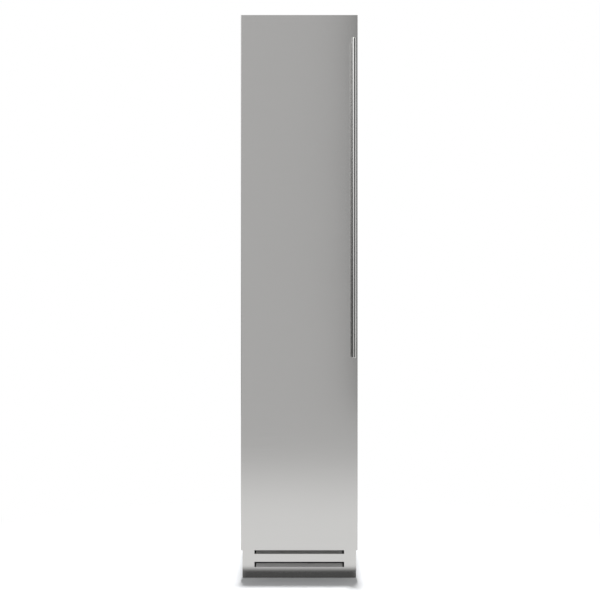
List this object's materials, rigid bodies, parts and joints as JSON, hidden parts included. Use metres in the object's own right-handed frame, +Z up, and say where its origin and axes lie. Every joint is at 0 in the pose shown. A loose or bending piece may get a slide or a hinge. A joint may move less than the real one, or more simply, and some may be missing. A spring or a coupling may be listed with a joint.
{
  "type": "column freezer",
  "caption": "Tall narrow column freezer with one full-height steel door, a long bar handle, a vented toe kick, drawers, shelves and an ice maker inside.",
  "frame": {"origin": "on the floor under the middle of the whole box, which runs from the front of the handle to the back of the case", "axes": "+X to the right seen from the front, +Y to the back, +Z up"},
  "size_m": [0.44, 0.667, 2.134],
  "materials": {
    "case_steel": "satin grey pre-painted steel",
    "liner_steel": "fine satin stainless steel",
    "foam": "rigid foam, matt",
    "trim_plastic": "satin grey plastic",
    "frame_steel": "black painted steel",
    "zinc_steel": "bright zinc plated steel",
    "pin_steel": "ground hinge steel",
    "toe_steel": "satin stainless steel, grain along the panel",
    "foot_steel": "zinc plated steel",
    "roller_plastic": "black nylon",
    "compressor_paint": "black enamel",
    "rubber": "black rubber",
    "copper": "copper tube",
    "coil_aluminium": "mill finish aluminium",
    "mount_steel": "grey painted steel",
    "dark_plastic": "dark moulded plastic",
    "pale_plastic": "pale moulded plastic",
    "valve_plastic": "white moulded nylon",
    "cover_steel": "galvanised steel",
    "motor": "black motor casing",
    "display_glass": "black glass",
    "rocker_plastic": "black gloss plastic",
    "light_diffuser": "frosted diffuser",
    "cast_aluminium": "cast aluminium",
    "ejector_plastic": "white plastic",
    "wire": "bright steel wire",
    "clear_plastic": "clear moulded plastic",
    "shelf_glass": "toughened glass",
    "trim_aluminium": "satin anodised aluminium",
    "door_steel": "satin stainless steel, grain across the door",
    "liner_plastic": "pale satin plastic",
    "gasket_rubber": "grey flexible seal",
    "bush_plastic": "white acetal",
    "handle_steel": "satin stainless steel"
  },
  "bodies": {
    "cabinet": {"case_sides": "case_steel", "case_top": "case_steel", "case_back": "cover_steel", "case_floor": "cover_steel", "insulation": "foam", "liner_panels": "liner_steel", "front_frame": "case_steel", "breaker_strip": "trim_plastic", "hinge_brackets": "zinc_steel", "hinge_pins": "pin_steel", "hinge_screws": "zinc_steel", "toe_kick": "toe_steel", "base_frame": "frame_steel", "compressor": "compressor_paint", "compressor_grommets": "rubber", "refrigerant_lines": "copper", "condenser": "coil_aluminium", "condenser_fan_mount": "mount_steel", "drip_pan": "dark_plastic", "drain_tube": "pale_plastic", "electrics_box": "dark_plastic", "power_inlet": "dark_plastic", "water_valve": "valve_plastic", "water_tube": "valve_plastic", "rear_cover": "cover_steel", "anti_tip_bracket": "zinc_steel", "evaporator": "coil_aluminium", "evaporator_cover": "pale_plastic", "evaporator_fan_motor": "motor", "control_panel": "trim_plastic", "touch_display": "display_glass", "light_bars": "light_diffuser", "ice_maker": "cast_aluminium", "glass_shelves": "shelf_glass", "shelf_trims": "trim_aluminium", "shelf_rails": "trim_aluminium", "drawer_channels": "pale_plastic"},
    "door": {"door_skin": "door_steel", "door_foam": "foam", "door_end_caps": "dark_plastic", "door_liner": "liner_plastic", "door_gasket": "gasket_rubber", "hinge_bushes": "bush_plastic", "door_bins": "clear_plastic", "handle_bar": "handle_steel", "handle_posts": "handle_steel"},
    "bottom_drawer": {"bottom_drawer": "clear_plastic"},
    "middle_drawer": {"middle_drawer": "clear_plastic"},
    "top_drawer": {"top_drawer": "clear_plastic"},
    "ice_bin": {"ice_bin": "clear_plastic"},
    "condenser_fan": {"condenser_fan": "dark_plastic"},
    "evaporator_fan": {"evaporator_fan": "dark_plastic"},
    "left_rear_roller": {"left_rear_roller": "roller_plastic"},
    "right_rear_roller": {"right_rear_roller": "roller_plastic"},
    "left_front_foot": {"left_front_foot": "foot_steel"},
    "right_front_foot": {"right_front_foot": "foot_steel"},
    "ice_ejector": {"ice_ejector": "ejector_plastic"},
    "ice_feeler_arm": {"ice_feeler_arm": "wire"},
    "power_rocker": {"power_rocker": "rocker_plastic"}
  },
  "joints": [
    {"name": "door_hinge", "type": "hinge", "parent": "cabinet", "child": "door", "pos_m": [-0.206, -0.2365, 1.0605], "axis": [0, 0, -1], "range_deg": [0, 115]},
    {"name": "bottom_drawer_slide", "type": "slide", "parent": "cabinet", "child": "bottom_drawer", "axis": [0, -1, 0], "range_m": [0, 0.03]},
    {"name": "middle_drawer_slide", "type": "slide", "parent": "cabinet", "child": "middle_drawer", "axis": [0, -1, 0], "range_m": [0, 0.03]},
    {"name": "top_drawer_slide", "type": "slide", "parent": "cabinet", "child": "top_drawer", "axis": [0, -1, 0], "range_m": [0, 0.03]},
    {"name": "ice_bin_slide", "type": "slide", "parent": "cabinet", "child": "ice_bin", "axis": [0, -1, 0], "range_m": [0, 0.03]},
    {"name": "condenser_fan_spin", "type": "hinge", "parent": "cabinet", "child": "condenser_fan", "pos_m": [-0.055, 0.235, 0.138], "axis": [1, 0, 0], "continuous": true},
    {"name": "evaporator_fan_spin", "type": "hinge", "parent": "cabinet", "child": "evaporator_fan", "pos_m": [0, 0.2435, 1.01], "axis": [0, 1, 0], "continuous": true},
    {"name": "left_roller_spin", "type": "hinge", "parent": "cabinet", "child": "left_rear_roller", "pos_m": [-0.1945, 0.2735, 0.02], "axis": [1, 0, 0], "continuous": true},
    {"name": "right_roller_spin", "type": "hinge", "parent": "cabinet", "child": "right_rear_roller", "pos_m": [0.1945, 0.2735, 0.02], "axis": [1, 0, 0], "continuous": true},
    {"name": "left_foot_screw", "type": "slide", "parent": "cabinet", "child": "left_front_foot", "axis": [0, 0, -1], "range_m": [0, 0.02]},
    {"name": "right_foot_screw", "type": "slide", "parent": "cabinet", "child": "right_front_foot", "axis": [0, 0, -1], "range_m": [0, 0.02]},
    {"name": "ice_ejector_turn", "type": "hinge", "parent": "cabinet", "child": "ice_ejector", "pos_m": [-0.122, -0.02, 1.895], "axis": [0, 1, 0], "continuous": true},
    {"name": "ice_feeler_lift", "type": "hinge", "parent": "cabinet", "child": "ice_feeler_arm", "pos_m": [-0.076, -0.02, 1.874], "axis": [0, -1, 0], "range_deg": [0, 30]},
    {"name": "power_rocker_tilt", "type": "hinge", "parent": "cabinet", "child": "power_rocker", "pos_m": [0.118, -0.1935, 2.029], "axis": [1, 0, 0], "range_deg": [-12, 0]}
  ]
}
